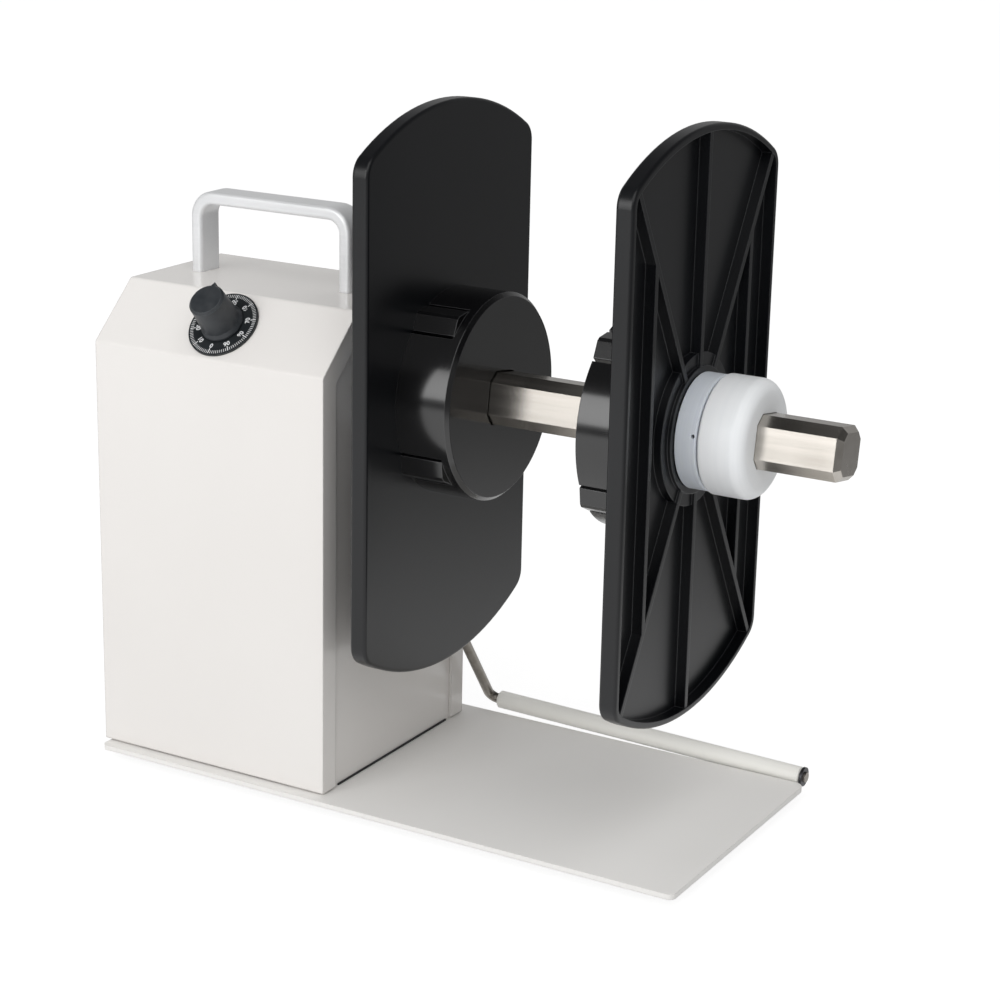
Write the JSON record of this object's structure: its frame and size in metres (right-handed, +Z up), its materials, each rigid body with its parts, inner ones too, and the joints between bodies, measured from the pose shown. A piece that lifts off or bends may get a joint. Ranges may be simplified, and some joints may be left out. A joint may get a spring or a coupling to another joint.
{
  "type": "label rewinder",
  "caption": "Bench label rewinder: sheet-metal motor housing with speed dial and handle, square spindle with two roll flanges and core hubs, locking collar, and a swinging guide-roller arm.",
  "frame": {"origin": "middle of the footprint, on the bench", "axes": "+X along the spindle away from the housing, +Y to the rear, away from the dial's side, +Z up"},
  "size_m": [0.2794, 0.1214, 0.2585],
  "materials": {
    "plate_paint": "fine satin powder coat, warm light grey",
    "housing_paint": "smooth semi-gloss enamel, warm off-white",
    "rubber": "moulded rubber",
    "zinc_steel": "bright zinc plate",
    "dark_steel": "black oxide",
    "handle_aluminium": "satin anodised flat bar",
    "turned_aluminium": "turned",
    "dial_black": "printed scale, white divisions",
    "scale_ink": "printed white ink, on the dial",
    "knob_plastic": "moulded, dark grey",
    "bearing_steel": "ground",
    "spindle_steel": "drawn and polished bright bar",
    "flange_plastic": "moulded, semi-matte black",
    "hub_plastic": "moulded, glossy black",
    "white_nylon": "turned white nylon",
    "roller_nylon": "natural nylon tube",
    "gearbox_zinc": "die-cast zinc",
    "motor_steel": "drawn steel can",
    "arm_steel": "bent round steel rod",
    "fitting_black": "moulded black",
    "board_green": "solder mask"
  },
  "bodies": {
    "chassis": {"base_plate": "plate_paint", "rubber_feet": "rubber", "base_screws": "zinc_steel", "housing_cover": "housing_paint", "left_panel": "housing_paint", "bearing_panel": "housing_paint", "cover_screws": "zinc_steel", "carry_handle": "handle_aluminium", "handle_screws": "zinc_steel", "dial_plate": "dial_black", "potentiometer": "zinc_steel", "potentiometer_nut": "zinc_steel", "bearing_housing": "turned_aluminium", "bearing_screws": "zinc_steel", "bearing_outer_rings": "bearing_steel", "bearing_balls": "bearing_steel", "motor_spacers": "zinc_steel", "spacer_screws": "zinc_steel", "motor_plate": "zinc_steel", "gearbox": "gearbox_zinc", "motor_screws": "zinc_steel", "motor": "motor_steel", "arm_bush": "roller_nylon", "arm_stop_pin": "zinc_steel", "sensor_bracket": "zinc_steel", "arm_sensor": "fitting_black", "switch_body": "fitting_black", "dc_inlet": "fitting_black", "inlet_nut": "zinc_steel", "board_spacers": "roller_nylon", "control_board": "board_green", "board_components": "fitting_black"},
    "spindle": {"spindle": "spindle_steel", "bearing_inner_rings": "bearing_steel", "shaft_coupling": "turned_aluminium", "coupling_screws": "dark_steel", "motor_shaft": "bearing_steel", "inner_flange": "flange_plastic", "inner_hub": "hub_plastic", "inner_hub_screws": "dark_steel", "inner_bush": "white_nylon", "inner_bush_set_screw": "dark_steel"},
    "outer_flange": {"outer_flange": "flange_plastic", "outer_hub": "hub_plastic", "outer_hub_screws": "dark_steel", "flange_bush": "white_nylon", "bush_set_screw": "dark_steel"},
    "collar": {"locking_collar": "white_nylon", "collar_set_screw": "dark_steel"},
    "knob": {"speed_knob": "knob_plastic", "knob_shaft": "zinc_steel", "knob_set_screw": "dark_steel"},
    "arm": {"tension_arm": "arm_steel", "arm_collar": "turned_aluminium", "roller_washer": "dark_steel"},
    "roller": {"guide_roller": "roller_nylon"},
    "rocker": {"switch_rocker": "fitting_black"}
  },
  "joints": [
    {"name": "spindle_spin", "type": "hinge", "parent": "chassis", "child": "spindle", "pos_m": [-0.0383, -0.00413, 0.1533], "axis": [1, 0, 0], "continuous": true},
    {"name": "outer_flange_slide", "type": "slide", "parent": "spindle", "child": "outer_flange", "axis": [1, 0, 0], "range_m": [-0.05, 0]},
    {"name": "collar_slide", "type": "slide", "parent": "spindle", "child": "collar", "axis": [1, 0, 0], "range_m": [0, 0.0478]},
    {"name": "knob_turn", "type": "hinge", "parent": "chassis", "child": "knob", "pos_m": [-0.089, -0.04393, 0.17469], "axis": [0, -0.6833, 0.7302], "range_deg": [-150, 150]},
    {"name": "arm_swing", "type": "hinge", "parent": "chassis", "child": "arm", "pos_m": [-0.0383, 0.03358, 0.0429], "axis": [1, 0, 0], "range_deg": [0, 70]},
    {"name": "roller_spin", "type": "hinge", "parent": "arm", "child": "roller", "pos_m": [-0.0322, 0.05697, 0.00985], "axis": [0.9998, 0, -0.0222], "continuous": true},
    {"name": "rocker_tilt", "type": "hinge", "parent": "chassis", "child": "rocker", "pos_m": [-0.107, 0.04398, 0.0695], "axis": [1, 0, 0], "range_deg": [-12, 12]}
  ]
}
